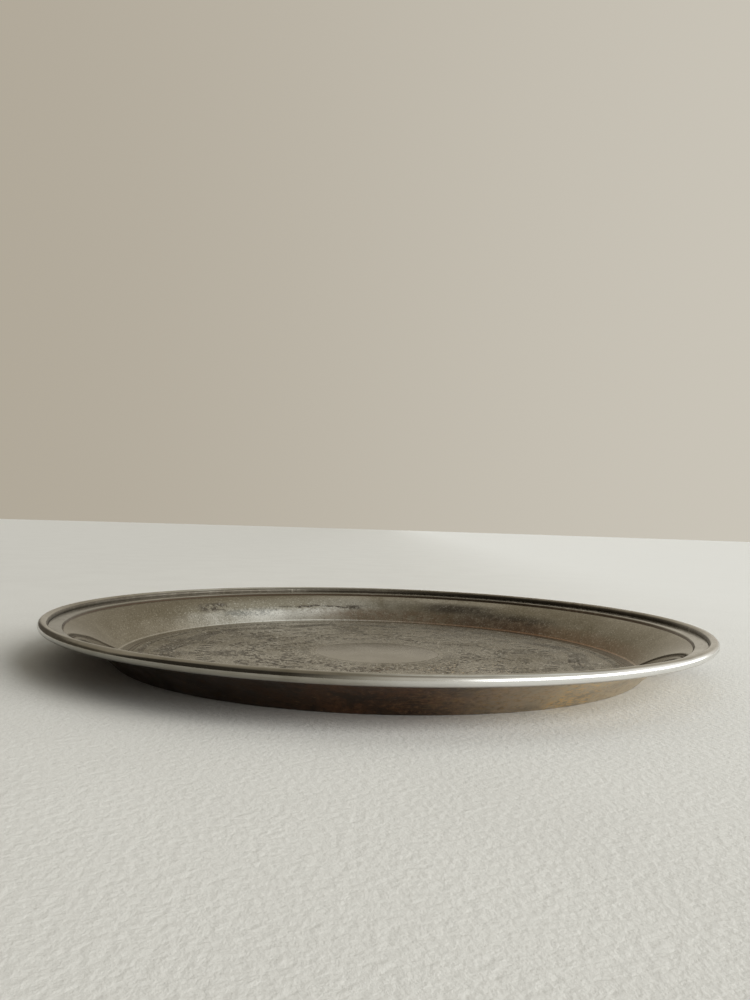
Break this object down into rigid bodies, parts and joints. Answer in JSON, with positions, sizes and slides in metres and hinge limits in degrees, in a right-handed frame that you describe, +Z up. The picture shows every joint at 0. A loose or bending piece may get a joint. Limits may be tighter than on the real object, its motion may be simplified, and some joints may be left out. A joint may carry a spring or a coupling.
{
  "type": "round serving tray",
  "caption": "Round metal serving tray with a flat engraved floor, a sloping side and a flat border that ends in a rolled bead.",
  "frame": {"origin": "centre of the flat base, on the surface that the tray stands on", "axes": "+Z up along the tray's axis; +X and +Y lie in the base and are interchangeable, because the tray is round"},
  "size_m": [0.305, 0.305, 0.0194],
  "materials": {
    "tarnished_plate": "worn silver plate, tarnished, satin",
    "polished_plate": "silver plate, lightly tarnished, glossy",
    "wire_brass": "drawn",
    "soft_solder": "dull grey"
  },
  "bodies": {
    "root": {"dish": "tarnished_plate", "border_moulding": "polished_plate", "core_wire": "wire_brass", "solder_seam": "soft_solder"}
  },
  "joints": []
}
